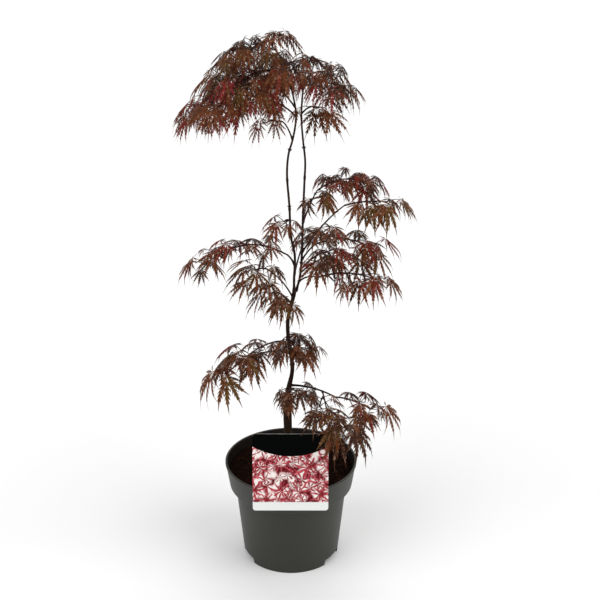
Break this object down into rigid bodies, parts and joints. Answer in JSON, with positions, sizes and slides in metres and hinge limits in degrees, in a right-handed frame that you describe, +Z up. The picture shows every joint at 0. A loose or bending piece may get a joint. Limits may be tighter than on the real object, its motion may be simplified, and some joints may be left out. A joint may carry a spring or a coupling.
{
  "type": "potted Japanese maple",
  "caption": "Young weeping laceleaf maple in a plastic nursery pot. Its slender trunk forks and carries layers of hanging, finely cut red-brown leaves, and a printed card hooks over the rim.",
  "frame": {"origin": "centre of the pot's flat underside", "axes": "+Z up the trunk; -Y is the side with the printed card"},
  "size_m": [0.3309, 0.2632, 0.7757],
  "materials": {
    "pot": "satin",
    "soil": "rough",
    "label": "smooth",
    "bark": "rough",
    "twig_bark": "satin",
    "foliage": "matt"
  },
  "bodies": {
    "root": {"bough_low_front": "twig_bark", "bough_low_left": "twig_bark", "bough_low_left_back": "twig_bark", "bough_low_right": "twig_bark", "bough_mid_back": "twig_bark", "bough_mid_left": "twig_bark", "bough_mid_left_low": "twig_bark", "bough_mid_right": "twig_bark", "bough_mid_right_long": "twig_bark", "bough_mid_right_low": "twig_bark", "bough_mid_right_top": "twig_bark", "bough_top_arch": "twig_bark", "bough_top_back": "twig_bark", "bough_top_front": "twig_bark", "bough_top_left": "twig_bark", "bough_top_left_back": "twig_bark", "bough_top_left_front": "twig_bark", "bough_top_right_back": "twig_bark", "leader_left": "twig_bark", "leader_right": "twig_bark", "mass_low_back": "foliage", "mass_low_foot": "foliage", "mass_low_front": "foliage", "mass_low_left": "foliage", "mass_low_left_back": "foliage", "mass_low_right": "foliage", "mass_low_right_inner": "foliage", "mass_low_stem": "foliage", "mass_mid_back": "foliage", "mass_mid_front": "foliage", "mass_mid_left": "foliage", "mass_mid_left_foot": "foliage", "mass_mid_left_low": "foliage", "mass_mid_left_top": "foliage", "mass_mid_right": "foliage", "mass_mid_right_back": "foliage", "mass_mid_right_inner": "foliage", "mass_mid_right_long": "foliage", "mass_mid_right_low": "foliage", "mass_mid_right_near": "foliage", "mass_mid_right_top": "foliage", "mass_top_apex": "foliage", "mass_top_arch": "foliage", "mass_top_back": "foliage", "mass_top_front": "foliage", "mass_top_left": "foliage", "mass_top_left_back": "foliage", "mass_top_left_front": "foliage", "mass_top_left_outer": "foliage", "mass_top_left_under": "foliage", "mass_top_mid": "foliage", "mass_top_right": "foliage", "mass_top_right_back": "foliage", "mass_top_right_front": "foliage", "mass_top_right_low": "foliage", "nursery_pot": "pot", "plant_label": "label", "potting_soil": "soil", "trunk": "bark"}
  },
  "joints": []
}
